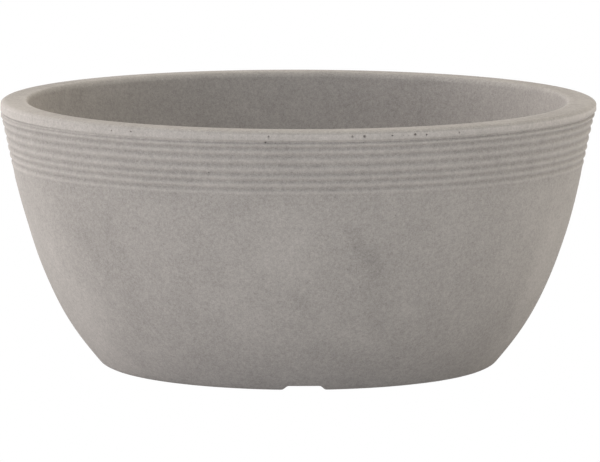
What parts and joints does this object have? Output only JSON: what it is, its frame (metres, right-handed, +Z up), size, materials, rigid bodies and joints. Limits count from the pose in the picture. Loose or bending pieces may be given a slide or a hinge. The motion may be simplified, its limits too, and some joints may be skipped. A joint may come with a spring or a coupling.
{
  "type": "bowl planter",
  "caption": "Round cast-concrete bowl planter with a ribbed band under a plain rim, a notched foot ring and a rubber plug in the floor's drain hole.",
  "frame": {"origin": "on the bowl's axis, in the plane that the foot ring stands on", "axes": "+Z up along the bowl's axis; -Y towards the notch that faces the front, +X to the right of it"},
  "size_m": [0.457, 0.457, 0.203],
  "materials": {
    "concrete": "matte, fine-grained grey cast concrete with faint cloudy mottling and a few pinholes",
    "rubber": "matte black moulded rubber"
  },
  "bodies": {
    "bowl": {"bowl_shell": "concrete"},
    "plug": {"drain_plug": "rubber"}
  },
  "joints": [
    {"name": "plug_lift", "type": "slide", "parent": "bowl", "child": "plug", "axis": [0, 0, 1], "range_m": [0, 0.22]}
  ]
}
